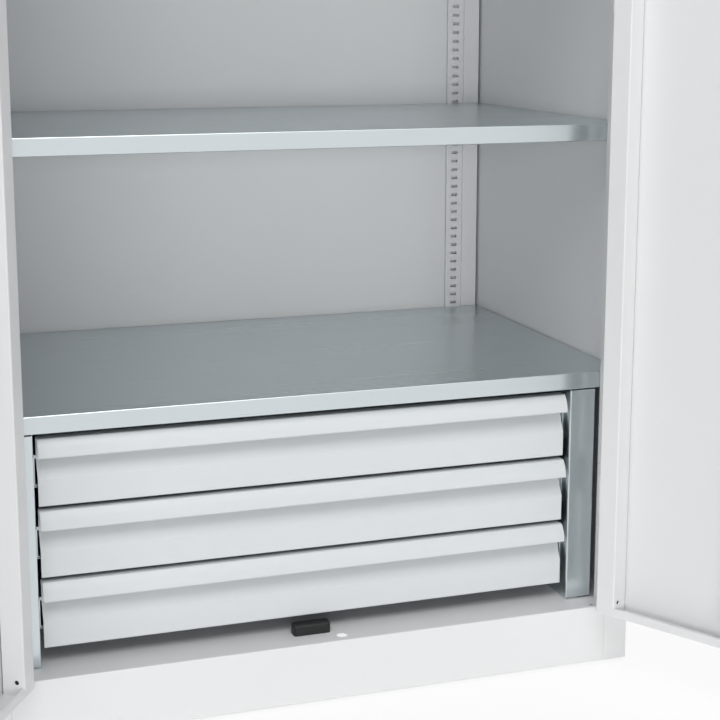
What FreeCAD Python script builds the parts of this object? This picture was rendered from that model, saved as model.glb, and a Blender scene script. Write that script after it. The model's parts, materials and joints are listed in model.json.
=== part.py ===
import FreeCAD, Part
import math
import os
import re
import Sketcher
from FreeCAD import Vector

# Two-door steel tool cupboard with shelves and three drawers that have rolled grips.
# Origin: floor level, centre of the footprint. X to the right, Y to the back, Z up.
# The doors stand open by door_open_angle; every door piece is drawn shut and then swung.

os.makedirs("parts", exist_ok=True)
doc = FreeCAD.newDocument("tool_cupboard")
sheet = doc.addObject("Spreadsheet::Sheet", "sizes")

DRIVING = {
    # whole cabinet
    "width": 950,
    "depth": 600,
    "tall": 1935,
    "steel": 1,
    "bend": 1,
    "fit": 0.5,
    # base, top and corner posts
    "floor_gap": 3,
    "plinth_tall": 90,
    "plinth_return": 10,
    "header_tall": 35,
    "post_wide": 38,
    "post_deep": 35,
    "rear_post_wide": 33,
    "rear_post_deep": 12,
    "rear_post_lip": 28,
    "edge_flange": 20,
    "foot_pad_radius": 10,
    "foot_pad_thick": 8,
    "foot_stud_radius": 5,
    "foot_stud_long": 40,
    "foot_bracket_level": 14,
    "foot_bracket_thick": 3,
    "foot_setback": 18,
    "rear_foot_setback": 40,
    "rear_bracket_deep": 36,
    # slotted rails and shelf clips
    "rail_wide": 31,
    "rail_leg": 10,
    "rail_proud": 1,
    "rail_line": 0.4,
    "slot_wide": 11,
    "slot_tall": 5,
    "slot_pitch": 15,
    "slot_first": 120.5,
    "slot_top_margin": 60,
    "clip_rise": 17,
    "clip_thick": 2,
    "clip_ledge": 14,
    "clip_hook": 6,
    "hook_wide": 9,
    # shelves
    "shelf_thick": 25,
    "shelf_lip": 14,
    "shelf_side_gap": 1.5,
    "shelf_slot_number": 43,
    "shelf_slot_step": 24,
    # drawer block
    "cheek_inset": 45,
    "cheek_setback": 40,
    "cheek_flange": 39.6,
    "cheek_foot": 20,
    "cheek_floor_gap": 2.5,
    "drawer_rise": 23.6,
    "drawer_pitch": 100,
    "drawer_head_gap": 9,
    "front_tall": 95,
    "front_side_gap": 6,
    "front_steel": 1.2,
    "panel_setback": 50,
    "panel_tall": 37.3,
    "recess_setback": 63,
    "slope_top": 62.7,
    "roll_setback": 37,
    "roll_lip_level": 69.4,
    "roll_shoulder_level": 84,
    "roll_crest_setback": 46.8,
    "roll_radius": 32,
    "roll_lip_radius": 2,
    "roll_crest_radius": 3.5,
    "roll_hem": 7,
    "front_return": 10,
    "tray_tall": 70,
    "tray_rise": 12,
    "tray_rim": 8,
    "slide_wide": 12.7,
    "slide_tall": 45,
    "slide_long": 500,
    "slide_steel": 1.2,
    "slide_gap": 0.4,
    "slide_flange": 9,
    "slide_level": 46,
    # doors
    "door_thick": 33,
    "door_gap": 3,
    "door_open_angle": 120,
    "stile_wide": 30,
    "stile_hole_radius": 3,
    "stile_hole_setback": 21.8,
    "stile_hole_rise": 19,
    "door_lip": 20,
    "door_end_lip": 12,
    "door_end_hem": 4,
    "stiffener_wide": 60,
    "stiffener_foot": 15,
    "stiffener_deep": 15,
    "stiffener_end_gap": 30,
    "strike_wide": 32,
    "strike_overlap": 14,
    "strike_step": 1,
    "strike_end_gap": 32,
    "bumper_left": 37.4,
    "bumper_right": 17.1,
    "bumper_deep": 20,
    "bumper_tall": 15,
    "bumper_corner": 4.5,
    "bumper_edge": 2,
    # hinges
    "pivot_proud": 3.5,
    "knuckle_radius": 2.7,
    "pin_radius": 1.2,
    "pin_clearance": 0.05,
    "leaf_steel": 1.2,
    "leaf_deep": 30,
    "hinge_tall": 60,
    "hinge_end_gap": 150,
    "knuckle_gap": 0.2,
    # lock
    "rod_offset": 29.2,
    "rod_setback": 19.2,
    "rod_radius": 4.5,
    "rod_hole_radius": 8,
    "rod_guide_gap": 0.3,
    "pinion_radius": 11.5,
    "mesh_gap": 0.2,
    "rack_wide": 5.5,
    "rack_thick": 8,
    "lock_level": 1090,
    "lock_case_wide": 41.5,
    "lock_case_tall": 128,
    "lock_case_deep": 30,
    "lock_case_wall": 1.5,
    "plate_wide": 30,
    "plate_above": 62,
    "plate_below": 128,
    "plate_thick": 8,
    "hub_radius": 12,
    "hub_out": 30,
    "lever_long": 112,
    "lever_wide": 18,
    "lever_thick": 12,
    "lever_out": 26,
    "spindle_side": 7,
    "key_rise": 40,
    "key_radius": 8.5,
    "key_deep": 12,
    "guide_side": 20,
    "guide_deep": 26,
    "guide_tall": 12,
    "guide_first": 100,
    "guide_far": 320,
    "rack_tail": 22,
    "rack_head": 40,
    "rack_bridge": 10,
    "plate_corner": 14,
    "plate_edge": 2,
    "lever_corner": 8,
    "lever_edge": 3,
    "key_slot_wide": 1.5,
    "key_slot_long": 9,
    "key_slot_deep": 3,
    # screws and small holes
    "screw_radius": 2.5,
    "screw_gap": 0.1,
    "head_radius": 4.5,
    "head_tall": 2.5,
    "screw_inset": 60,
    "screw_margin": 80,
    "screw_level": 72,
    "vent_inset": 17,
    "vent_setback": 10,
    "vent_radius": 3,
    "cheek_rear_gap": 3,
}

for row, (name, size) in enumerate(DRIVING.items(), start=1):
    sheet.set(f"A{row}", name)
    sheet.set(f"B{row}", str(size))
    sheet.setAlias(f"B{row}", name)
doc.recompute()


def tied(text):
    """The same formula with each driving size written as a cell of the sheet."""
    return re.sub(r"[a-z_]+", lambda m: f"sizes.{m[0]}" if m[0] in DRIVING else m[0], text)


def value(text):
    """A formula's value in mm, or in degrees."""
    return float(sheet.evalExpression(text))


# Places that several pieces share, as formulas in the driving sizes
FRONT = "(-depth / 2)"
REAR = "(depth / 2)"
POST_IN = "(width / 2 - post_wide)"
WALL_IN = "(width / 2 - steel)"
POST_BACK = "(-depth / 2 + post_deep)"
BACK_FACE = "(depth / 2 - rear_post_deep)"
REAR_POST_IN = "(width / 2 - rear_post_wide)"
RAIL_FACE = "(depth / 2 - rear_post_deep - rail_proud)"
RAIL_IN = "(width / 2 - rear_post_wide - fit - rail_wide)"
CORNER = "(bend + steel)"
FACET = "(1 - sqrt(2) / 2)"
SHELF_HALF = "(width / 2 - steel - shelf_side_gap)"
SHELF_FRONT = "(-depth / 2 + post_deep + 1)"
SHELF_REAR = "(depth / 2 - rear_post_deep - 2)"
STACK_TOP = "(plinth_tall + drawer_rise + 2 * drawer_pitch + front_tall + drawer_head_gap)"
FRONT_BACK = "(-depth / 2 + recess_setback + front_steel)"
CHEEK_FACE = "(width / 2 - post_wide - cheek_inset)"
TRAY_SIDE = f"({CHEEK_FACE} - slide_wide)"
DOOR_EDGE = "(width / 2 - post_wide - door_gap)"
DOOR_FREE = "(door_gap / 2)"
DOOR_LOW = "(plinth_tall + door_gap)"
DOOR_HIGH = "(tall - header_tall - door_gap)"
DOOR_BACK = "(-depth / 2 + door_thick)"
PIVOT_X = "(width / 2 - post_wide - leaf_steel + knuckle_radius)"
PIVOT_Y = "(-depth / 2 - pivot_proud)"
ROD_Y = "(-depth / 2 + rod_setback)"
SKIN_IN = "(-depth / 2 + steel)"

CHEEK_FRONT = "(-depth / 2 + cheek_setback)"
CHEEK_REAR = "(depth / 2 - rear_post_deep - rail_proud - cheek_rear_gap)"
SLIDE_FRONT = "(-depth / 2 + recess_setback + front_steel)"
RAIL_LOW = "(plinth_tall + fit)"
RAIL_LONG = "(tall - steel - plinth_tall - 2 * fit)"
REAR_SLOT = "(width / 2 - rear_post_wide - fit - rail_wide / 2)"
FRONT_SLOT = "(width / 2 - post_wide / 2)"
SLOT_COUNT = "(floor((tall - slot_top_margin - slot_first) / slot_pitch) + 1)"
FOOT_SCREWS = [f"({CHEEK_FRONT} + screw_inset)", "0", f"({CHEEK_REAR} - screw_inset)"]
FRONT_SCREWS = [(f"{side} * ({TRAY_SIDE} - screw_margin)", "screw_level") for side in (-1, 0, 1)]
GUIDE_LEVELS = [f"({DOOR_LOW} + guide_first)", "(lock_level - guide_far)", "(lock_level + guide_far)",
                f"({DOOR_HIGH} - guide_first)"]


def shelf_slot(number):
    """The height of the upper slot that holds a shelf's clips."""
    return f"(slot_first + slot_pitch * (shelf_slot_number + {number} * shelf_slot_step))"


def drawer_low(number):
    """The bottom of a drawer's front, counted from 1 at the bottom."""
    return f"(plinth_tall + drawer_rise + {number - 1} * drawer_pitch)"


STEPS = {"+u": (1, 0), "-u": (-1, 0), "+v": (0, 1), "-v": (0, -1)}
PLANES = {"plan": "XY_Plane", "side": "YZ_Plane", "face": "XZ_Plane"}
finished = {}


def tie(thing, **formulas):
    """Bind properties of an object to the sheet."""
    for name, formula in formulas.items():
        thing.setExpression(name, tied(formula))
    return thing


def place(thing, x, y, z):
    """Bind where an object stands."""
    for axis, formula in zip("xyz", (x, y, z)):
        thing.setExpression(f".Placement.Base.{axis}", tied(formula))
    return thing


def swing(thing):
    """Turn a door piece, drawn shut, about the hinge axis to where the door stands."""
    turn = "rotation(vector(0; 0; 1); door_open_angle)"
    about = f"vector({PIVOT_X}; {PIVOT_Y}; 0)"
    thing.setExpression("Placement", tied(f"placement(vector(0; 0; 0); {turn}; {about})"))
    return thing


def keep(thing, label):
    """Name a finished sub-part."""
    thing.Label = label
    finished[label] = thing
    return thing


def block(x, y, z, long, deep, high):
    """A box from its lowest corner."""
    box = doc.addObject("Part::Box", "block")
    tie(box, Length=long, Width=deep, Height=high)
    return place(box, x, y, z)


def cylinder(x, y, z, radius, long, along="Z"):
    """A round bar from the middle of its first end."""
    bar = doc.addObject("Part::Cylinder", "cylinder")
    tie(bar, Radius=radius, Height=long)
    if along == "Y":
        bar.Placement.Rotation = FreeCAD.Rotation(Vector(1, 0, 0), -90)
    return place(bar, x, y, z)


def fused(*pieces):
    """One solid from pieces that touch."""
    whole = doc.addObject("Part::MultiFuse", "fused")
    whole.Shapes = list(pieces)
    whole.Refine = True
    return whole


def cut(base, *tools):
    """A piece with others taken out of it."""
    left = doc.addObject("Part::Cut", "cut")
    left.Base = base
    left.Tool = tools[0] if len(tools) == 1 else group(*tools)
    return left


def group(*pieces):
    """Several solids that belong to one sub-part."""
    whole = doc.addObject("Part::Compound", "group")
    whole.Links = list(pieces)
    return whole


def mirrored(thing):
    """The same piece on the other side of the cabinet."""
    other = doc.addObject("Part::Mirroring", "mirrored")
    other.Source = thing
    other.Normal = Vector(1, 0, 0)
    return other


def both(thing):
    """A piece and its mirror image."""
    return group(thing, mirrored(thing))


def blank_sketch(body, plane, level):
    """An empty sketch across one of the body's own axes, at a level along it."""
    sketch = body.newObject("Sketcher::SketchObject", "outline")
    origin = [f for f in body.Origin.OriginFeatures if f.Role == PLANES[plane]][0]
    sketch.AttachmentSupport = (origin, "")
    sketch.MapMode = "FlatFace"
    offset = f"-({level})" if plane == "face" else level
    sketch.setExpression(".AttachmentOffset.Base.z", tied(offset))
    return sketch


def constrain(sketch, rules):
    """Add rules to a sketch: each is a constraint and the formula that sets it, or None."""
    numbers = sketch.addConstraint([rule for rule, formula in rules])
    for number, (rule, formula) in zip(numbers, rules):
        if formula:
            sketch.setExpression(f"Constraints[{number}]", tied(formula))


def outlined(body, plane, level, corners):
    """A closed outline of straight lines; each corner is (u, v, radius or None), all formulas."""
    sketch = blank_sketch(body, plane, level)
    spots = [Vector(value(u), value(v), 0) for u, v, radius in corners]
    count = len(corners)
    for i in range(count):
        sketch.addGeometry(Part.LineSegment(spots[i], spots[(i + 1) % count]))
    rules = []
    for i, (u, v, radius) in enumerate(corners):
        rules.append((Sketcher.Constraint("Coincident", (i - 1) % count, 2, i, 1), None))
        rules.append((Sketcher.Constraint("DistanceX", -1, 1, i, 1, spots[i].x), u))
        rules.append((Sketcher.Constraint("DistanceY", -1, 1, i, 1, spots[i].y), v))
    constrain(sketch, rules)
    return sketch


def circled(body, plane, level, u, v, radius):
    """A circle about (u, v)."""
    sketch = blank_sketch(body, plane, level)
    middle, size = Vector(value(u), value(v), 0), value(radius)
    sketch.addGeometry(Part.Circle(middle, Vector(0, 0, 1), size))
    constrain(sketch, [
        (Sketcher.Constraint("DistanceX", -1, 1, 0, 3, middle.x), u),
        (Sketcher.Constraint("DistanceY", -1, 1, 0, 3, middle.y), v),
        (Sketcher.Constraint("Radius", 0, size), radius),
    ])
    return sketch


def pad(body, plane, level, thick, corners):
    """An outline made into sheet or plate: from level, thick along the plane's axis."""
    thickness = body.newObject("PartDesign::Pad", "pad")
    thickness.Profile = outlined(body, plane, level, corners)
    thickness.Reversed = plane == "face"
    tie(thickness, Length=thick)
    for radius in dict.fromkeys(radius for u, v, radius in corners if radius):
        spots = [(value(u), value(v)) for u, v, own in corners if own == radius]
        soften(body, radius, lambda edge: upright(edge, plane, spots))
    return thickness


def upright(edge, plane, spots):
    """Does an edge run along the plane's axis through one of the spots?"""
    ends = [vertex.Point for vertex in edge.Vertexes]
    flat = {"plan": lambda p: (p.x, p.y), "side": lambda p: (p.y, p.z), "face": lambda p: (p.x, p.z)}[plane]
    if len(ends) != 2 or math.dist(flat(ends[0]), flat(ends[1])) > 0.001:
        return False
    return any(math.dist(flat(ends[0]), spot) < 0.001 for spot in spots)


def soften(body, radius, wanted):
    """Round the edges of a body's last feature that a test picks."""
    doc.recompute()
    last = body.Tip
    names = [f"Edge{n}" for n, edge in enumerate(last.Shape.Edges, start=1) if wanted(edge)]
    if not names:
        raise RuntimeError(f"no edge to round in {body.Name}")
    rounding = body.newObject("PartDesign::Fillet", "rounding")
    rounding.Base = (last, names)
    tie(rounding, Radius=radius)


def folded(body, plane, level, thick, start, moves, steel="steel"):
    """A strip of sheet folded square: start and moves follow its outer face, metal on the left."""
    (u, v), outer, directions = start, [start], [STEPS[step] for step, length in moves]
    for (du, dv), (step, length) in zip(directions, moves):
        u, v = (f"{u} + {du} * ({length})" if du else u), (f"{v} + {dv} * ({length})" if dv else v)
        outer.append((u, v))
    inner = []
    for i, (u, v) in enumerate(outer):
        sides = [directions[j] for j in (i - 1, i) if 0 <= j < len(directions)]
        du, dv = -sum(d[1] for d in sides), sum(d[0] for d in sides)
        inner.append((f"{u} + {du} * {steel}", f"{v} + {dv} * {steel}"))
    corners = []
    for face, tight in ((outer, -1), (inner, 1)):
        bent = [(*face[0], None)]
        for i in range(1, len(moves)):
            (a, b), (c, d) = directions[i - 1], directions[i]
            bent.append((*face[i], "bend" if (a * d - b * c) == tight else f"bend + {steel}"))
        corners += (bent + [(*face[-1], None)])[:: -tight]
    return pad(body, plane, level, thick, corners)


def rectangle(u, v, long, high, radius=None):
    """Corners of a rectangle from its lowest corner."""
    far_u, far_v = f"{u} + {long}", f"{v} + {high}"
    return [(u, v, radius), (far_u, v, radius), (far_u, far_v, radius), (u, far_v, radius)]


def cut_out(body, plane, thick, sketch):
    """Take a sketched shape out of a body, thick along the plane's axis."""
    doc.recompute()
    before = body.Tip.Shape.Volume
    pocket = body.newObject("PartDesign::Pocket", "cut_out")
    pocket.Profile = sketch
    pocket.Reversed = plane != "face"
    tie(pocket, Length=thick)
    doc.recompute()
    if pocket.Shape.Volume > before - 0.001:
        raise RuntimeError(f"an opening in {body.Label} cuts nothing")
    return pocket


def hole(body, plane, level, thick, u, v, radius):
    """A round hole through sheet, from level."""
    return cut_out(body, plane, thick, circled(body, plane, level, u, v, radius))


def window(body, plane, level, thick, corners):
    """A straight-sided opening through sheet, from level."""
    return cut_out(body, plane, thick, outlined(body, plane, level, corners))


def new_body(name):
    return doc.addObject("PartDesign::Body", name)


# Side panels: one folded sheet each, with the front post, the side wall and the rear post
def side_panel():
    body = new_body("side_panel")
    moves = [("-v", "post_deep"), ("+u", "post_wide"), ("+v", "depth"), ("-u", "rear_post_wide"),
             ("-v", "rear_post_deep"), ("+u", "rear_post_lip")]
    folded(body, "plan", "floor_gap", "tall - steel - floor_gap", (POST_IN, POST_BACK), moves)
    return body


right_side = keep(side_panel(), "side_panel_right")
keep(mirrored(right_side), "side_panel_left")


# Back panel: flat between the rear rails, joggled back behind them
back = new_body("back")
moves = [("+u", "rail_wide"), ("-v", "rail_leg"), ("+u", f"2 * {RAIL_IN}"), ("+v", "rail_leg"),
         ("+u", "rail_wide")]
start = (f"-{RAIL_IN} - rail_wide", f"{BACK_FACE} + rail_leg")
folded(back, "plan", "floor_gap", "tall - steel - floor_gap", start, moves)
keep(back, "back_panel")


# Top panel: the plate lies on the side panels, and its header folds down between the posts
top = new_body("top")
moves = [("-u", "post_deep + edge_flange"), ("-v", "header_tall"), ("+u", "post_deep - steel")]
start = (f"{POST_BACK} + edge_flange", "tall")
folded(top, "side", f"-{POST_IN} + fit / 2", f"2 * {POST_IN} - fit", start, moves)
half_inner = f"{POST_IN} - fit / 2"
pad(top, "plan", "tall - steel", "steel", [
    ("-width / 2", FRONT, None), (f"-({half_inner})", FRONT, None),
    (f"-({half_inner})", f"{POST_BACK} + bend", None), (half_inner, f"{POST_BACK} + bend", None),
    (half_inner, FRONT, None), ("width / 2", FRONT, None),
    ("width / 2", REAR, None), ("-width / 2", REAR, None),
])
hole(top, "plan", "tall - header_tall - steel", "3 * steel", "rod_offset", ROD_Y, "rod_hole_radius")
keep(top, "top_panel")


# Base: the deck that the drawer block stands on, folded down in front as the plinth
base = new_body("base")
moves = [("-u", "post_deep + edge_flange"), ("-v", "plinth_tall - floor_gap"), ("+u", "plinth_return")]
start = (f"{POST_BACK} + edge_flange", "plinth_tall")
folded(base, "side", f"-{POST_IN} + fit / 2", f"2 * {POST_IN} - fit", start, moves)
moves = [("+v", "edge_flange"), ("-u", f"2 * ({WALL_IN} - fit)"), ("-v", "edge_flange")]
start = (f"{WALL_IN} - fit", "plinth_tall - edge_flange")
folded(base, "face", f"{POST_BACK} + fit", f"{RAIL_FACE} - {POST_BACK} - 2 * fit", start, moves)
hole(base, "plan", "plinth_tall - 2 * steel", "3 * steel", "rod_offset", ROD_Y, "rod_hole_radius")
hole(base, "plan", "plinth_tall - 2 * steel", "3 * steel", f"{POST_IN} - vent_inset",
     f"{FRONT} + vent_setback", "vent_radius")
for side in ("1", "-1"):
    for spot in FOOT_SCREWS:
        across = f"{side} * ({CHEEK_FACE} + cheek_foot / 2)"
        hole(base, "plan", "plinth_tall - 2 * steel", "3 * steel", across, spot, "screw_radius + screw_gap")
keep(base, "base_deck")


# Slotted rails: channels that carry the shelf clips, behind the posts and beside the back panel
def slotted(body, across, level):
    """Punch the column of slots in a rail's face."""
    corners = rectangle(f"{across} - slot_wide / 2", "slot_first - slot_tall / 2", "slot_wide", "slot_tall")
    slot = window(body, "face", f"{level} - steel", "3 * steel", corners)
    row = body.newObject("PartDesign::LinearPattern", "slots")
    row.Originals = [slot]
    row.Direction = ([f for f in body.Origin.OriginFeatures if f.Role == "Z_Axis"][0], [""])
    tie(row, Length=f"({SLOT_COUNT} - 1) * slot_pitch", Occurrences=SLOT_COUNT)
    body.Tip = row


rear_rail = new_body("rear_rail")
leg = "(rail_leg + rail_proud - fit)"
moves = [("-v", leg), ("+u", "rail_wide - rail_line"), ("+v", leg)]
start = (f"{RAIL_IN} + rail_line", f"{RAIL_FACE} + {leg}")
folded(rear_rail, "plan", RAIL_LOW, RAIL_LONG, start, moves)
slotted(rear_rail, REAR_SLOT, RAIL_FACE)
keep(rear_rail, "rear_rail_right")
keep(mirrored(rear_rail), "rear_rail_left")

front_rail = new_body("front_rail")
moves = [("+v", "rail_leg"), ("-u", "post_wide - 2 * steel - fit"), ("-v", "rail_leg")]
start = (f"{WALL_IN} - fit / 2", f"{POST_BACK} - rail_leg")
folded(front_rail, "plan", RAIL_LOW, RAIL_LONG, start, moves)
slotted(front_rail, FRONT_SLOT, f"{POST_BACK} - steel")
keep(front_rail, "front_rail_right")
keep(mirrored(front_rail), "front_rail_left")


# Shelves: galvanised trays turned over, with a lip along the front and the back
def shelf(label, low):
    body = new_body(label)
    relief = f"({CORNER} + fit)"
    deep = f"{SHELF_REAR} - {SHELF_FRONT}"
    moves = [("+u", "shelf_lip"), ("+v", "shelf_thick"), ("-u", deep), ("-v", "shelf_thick"),
             ("+u", "shelf_lip")]
    start = (f"{SHELF_REAR} - shelf_lip", low)
    folded(body, "side", f"-{SHELF_HALF} + {relief}", f"2 * ({SHELF_HALF} - {relief})", start, moves)
    moves = [("+v", "shelf_thick"), ("-u", f"2 * {SHELF_HALF}"), ("-v", "shelf_thick")]
    folded(body, "face", f"{SHELF_FRONT} + {relief}", f"{deep} - 2 * {relief}", (SHELF_HALF, low), moves)
    return keep(body, label)


shelf("drawer_cover_shelf", STACK_TOP)
for number in range(3):
    shelf(f"shelf_{number + 1}", f"{shelf_slot(number)} + clip_rise")


# Shelf clips: four under each loose shelf, hooked into the rails
def clip(across, face, back, level):
    """One clip on a rail's face; back is 1 where the rail faces the front, -1 where it faces the back."""
    def bar(start, deep, low, wide, high):
        """One bar of the clip, from start in front of the rail's face."""
        y = f"{face} - ({start}) - ({deep})" if back == 1 else f"{face} + {start}"
        return block(f"{across} - {wide} / 2", y, low, wide, deep, high)

    rise = f"({level} + clip_rise)"
    plate_low = f"({level} - slot_pitch - slot_tall)"
    bars = [bar("0", "clip_thick", plate_low, "slot_wide", f"{rise} - {plate_low}"),
            bar("0", "clip_thick + clip_ledge", f"{rise} - clip_thick", "slot_wide", "clip_thick")]
    inside = "-(steel + clip_hook)"
    for slot in (level, f"{level} - slot_pitch"):
        bars.append(bar(inside, "steel + clip_hook + clip_thick", f"{slot} - fit", "hook_wide", "clip_thick"))
        bars.append(bar(inside, "clip_hook - 2 * fit", f"{slot} - slot_tall", "hook_wide", "slot_tall"))
    return fused(*bars)


clips = []
for number in range(3):
    clips.append(both(clip(REAR_SLOT, RAIL_FACE, 1, shelf_slot(number))))
    clips.append(both(clip(FRONT_SLOT, POST_BACK, -1, shelf_slot(number))))
keep(group(*clips), "shelf_clips")


# Levelling feet under the four corners, and the brackets that hold them
feet, brackets = [], []
for setback, low_y, deep in (
    (f"{FRONT} + foot_setback", f"{FRONT} + steel + bend", "post_deep - 2 * steel - bend"),
    (f"{REAR} - rear_foot_setback", f"{REAR} - rear_foot_setback - rear_bracket_deep / 2",
     "rear_bracket_deep"),
):
    across = "width / 2 - post_wide / 2"
    disc = cylinder(across, setback, "0", "foot_pad_radius", "foot_pad_thick")
    stud = cylinder(across, setback, "foot_pad_thick", "foot_stud_radius", "foot_stud_long")
    feet.append(both(fused(disc, stud)))
    plate = block(f"{POST_IN} + steel", low_y, "foot_bracket_level", "post_wide - 2 * steel", deep,
                  "foot_bracket_thick")
    bore = cylinder(across, setback, "foot_bracket_level - fit", "foot_stud_radius + pin_clearance",
                    "foot_bracket_thick + 2 * fit")
    brackets.append(both(cut(plate, bore)))
keep(group(*feet), "levelling_feet")
keep(group(*brackets), "foot_brackets")


# Door bumper: a black block on the deck that both shut doors rest against
bumper = new_body("bumper")
pad(bumper, "plan", "plinth_tall", "bumper_tall",
    rectangle("-bumper_left", f"{DOOR_BACK} + rod_guide_gap", "bumper_left + bumper_right", "bumper_deep",
              "bumper_corner"))
soften(bumper, "bumper_edge", lambda edge: edge.BoundBox.ZMin > value("plinth_tall + bumper_tall") - 0.001)
keep(bumper, "door_bumper")


# Drawer cheeks: galvanised side plates that stand on the deck and carry the slides
cheek = new_body("cheek")
relief = f"({CORNER} + fit)"
moves = [("-u", "cheek_foot"), ("-v", f"{STACK_TOP} - plinth_tall"), ("+u", "cheek_foot")]
start = (f"{CHEEK_FACE} + cheek_foot", STACK_TOP)
folded(cheek, "face", f"{CHEEK_FRONT} + {relief}", f"{CHEEK_REAR} - {CHEEK_FRONT} - 2 * {relief}", start,
       moves)
moves = [("-u", "cheek_flange"), ("-v", f"{CHEEK_REAR} - {CHEEK_FRONT}"), ("+u", "cheek_flange")]
folded(cheek, "plan", "plinth_tall + cheek_floor_gap",
       f"{STACK_TOP} - plinth_tall - cheek_floor_gap - {relief}",
       (f"{CHEEK_FACE} + cheek_flange", CHEEK_REAR), moves)
for spot in FOOT_SCREWS:
    hole(cheek, "plan", "plinth_tall - steel", "3 * steel", f"{CHEEK_FACE} + cheek_foot / 2", spot,
         "screw_radius + screw_gap")
keep(cheek, "drawer_cheek_right")
keep(mirrored(cheek), "drawer_cheek_left")

screws = []
for spot in FOOT_SCREWS:
    across = f"{CHEEK_FACE} + cheek_foot / 2"
    shank = cylinder(across, spot, "plinth_tall - 3 * steel", "screw_radius", "4 * steel")
    head = cylinder(across, spot, "plinth_tall + steel", "head_radius", "head_tall")
    screws.append(both(fused(shank, head)))
keep(group(*screws), "cheek_screws")


# Drawer slides: three nested channels on each side, the middle one going half as far
def channel(outer, low, wide, high, opens_in):
    """A channel along the drawer: outer is its web's outer face."""
    body = new_body("channel")
    if opens_in:
        moves = [("+u", wide), ("+v", high), ("-u", wide)]
        start = (f"{outer} - {wide}", low)
    else:
        moves = [("-u", wide), ("-v", high), ("+u", wide)]
        start = (f"{outer} + {wide}", f"{low} + {high}")
    folded(body, "face", SLIDE_FRONT, "slide_long", start, moves, "slide_steel")
    return both(body)


def slides(number):
    """The three slide members of one drawer, each a pair."""
    middle = f"({drawer_low(number)} + slide_level)"
    step = "(slide_steel + slide_gap)"
    low = f"{middle} - slide_tall / 2"
    keep(channel(CHEEK_FACE, low, "slide_flange", "slide_tall", True), f"slide_cabinet_{number}")
    keep(channel(f"({CHEEK_FACE} - {step})", f"{low} + {step}", "slide_flange - fit",
                 f"slide_tall - 2 * {step}", True), f"slide_middle_{number}")
    keep(channel(TRAY_SIDE, f"{low} + 2 * {step}", "slide_flange - fit",
                 f"slide_tall - 4 * {step}", False), f"slide_drawer_{number}")


# Drawer fronts: one folded sheet, with the rolled grip above a recess for the fingers
def drawer_front(number):
    low = drawer_low(number)
    across, rise = "(roll_crest_setback - roll_setback)", "(front_tall - roll_shoulder_level)"
    slant = f"sqrt({across} * {across} + {rise} * {rise})"
    shoulder_shift = f"front_steel * ({slant} - {rise}) / {across}"
    crest_shift = f"front_steel * ({slant} - {across}) / {rise}"
    inside = [
        ("roll_setback + roll_hem", "roll_lip_level + front_steel", None),
        ("roll_setback + front_steel", "roll_lip_level + front_steel", "roll_lip_radius - front_steel"),
        ("roll_setback + front_steel", f"roll_shoulder_level - {shoulder_shift}",
         "roll_radius - front_steel"),
        (f"roll_crest_setback + {crest_shift}", "front_tall - front_steel",
         "roll_crest_radius - front_steel"),
        ("recess_setback", "front_tall - front_steel", "bend"),
        ("recess_setback", "slope_top", None),
        ("panel_setback", "panel_tall", None),
        ("panel_setback", "0", "bend + front_steel"),
        ("panel_setback + front_return", "0", None),
    ]
    outside = [
        ("panel_setback + front_return", "front_steel", None),
        ("panel_setback + front_steel", "front_steel", "bend"),
        ("panel_setback + front_steel", "panel_tall", None),
        ("recess_setback + front_steel", "slope_top", None),
        ("recess_setback + front_steel", "front_tall", "bend + front_steel"),
        ("roll_crest_setback", "front_tall", "roll_crest_radius"),
        ("roll_setback", "roll_shoulder_level", "roll_radius"),
        ("roll_setback", "roll_lip_level", "roll_lip_radius"),
        ("roll_setback + roll_hem", "roll_lip_level", None),
    ]
    body = new_body("front")
    half = f"({CHEEK_FACE} - front_side_gap)"
    corners = [(f"{FRONT} + {u}", f"{low} + {v}", radius) for u, v, radius in inside + outside]
    pad(body, "side", f"-{half}", f"2 * {half}", corners)
    for x, z in FRONT_SCREWS:
        hole(body, "face", f"{FRONT} + recess_setback - fit", "front_steel + 2 * fit", x, f"{low} + {z}",
             "screw_radius + screw_gap")
    return keep(body, f"drawer_front_{number}")


# Drawer trays: galvanised boxes with a rim along each side
def drawer_tray(number):
    low = f"({drawer_low(number)} + tray_rise)"
    body = new_body("tray")
    moves = [("-u", "tray_rim"), ("-v", "tray_tall"), ("+u", f"2 * {TRAY_SIDE}"), ("+v", "tray_tall"),
             ("-u", "tray_rim")]
    start = (f"-{TRAY_SIDE} + tray_rim", f"{low} + tray_tall")
    folded(body, "face", FRONT_BACK, "slide_long", start, moves)
    moves = [("-v", "tray_tall"), ("+u", "slide_long"), ("+v", "tray_tall")]
    inner = f"({TRAY_SIDE} - steel / 2)"
    folded(body, "side", f"-{inner}", f"2 * {inner}", (FRONT_BACK, f"{low} + tray_tall"), moves)
    for x, z in FRONT_SCREWS:
        hole(body, "face", f"{FRONT_BACK} - fit", "steel + 2 * fit", x, f"{drawer_low(number)} + {z}",
             "screw_radius + screw_gap")
    return keep(body, f"drawer_tray_{number}")


def front_screws(number):
    """Screws from inside the tray into the drawer front."""
    pieces = []
    for x, z in FRONT_SCREWS:
        height = f"{drawer_low(number)} + {z}"
        shank = cylinder(x, f"{FRONT} + recess_setback - fit", height, "screw_radius",
                         "front_steel + steel + fit", "Y")
        head = cylinder(x, f"{FRONT_BACK} + steel", height, "head_radius", "head_tall", "Y")
        pieces.append(fused(shank, head))
    return keep(group(*pieces), f"front_screws_{number}")


for number in (1, 2, 3):
    slides(number)
    drawer_front(number)
    drawer_tray(number)
    front_screws(number)


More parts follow.
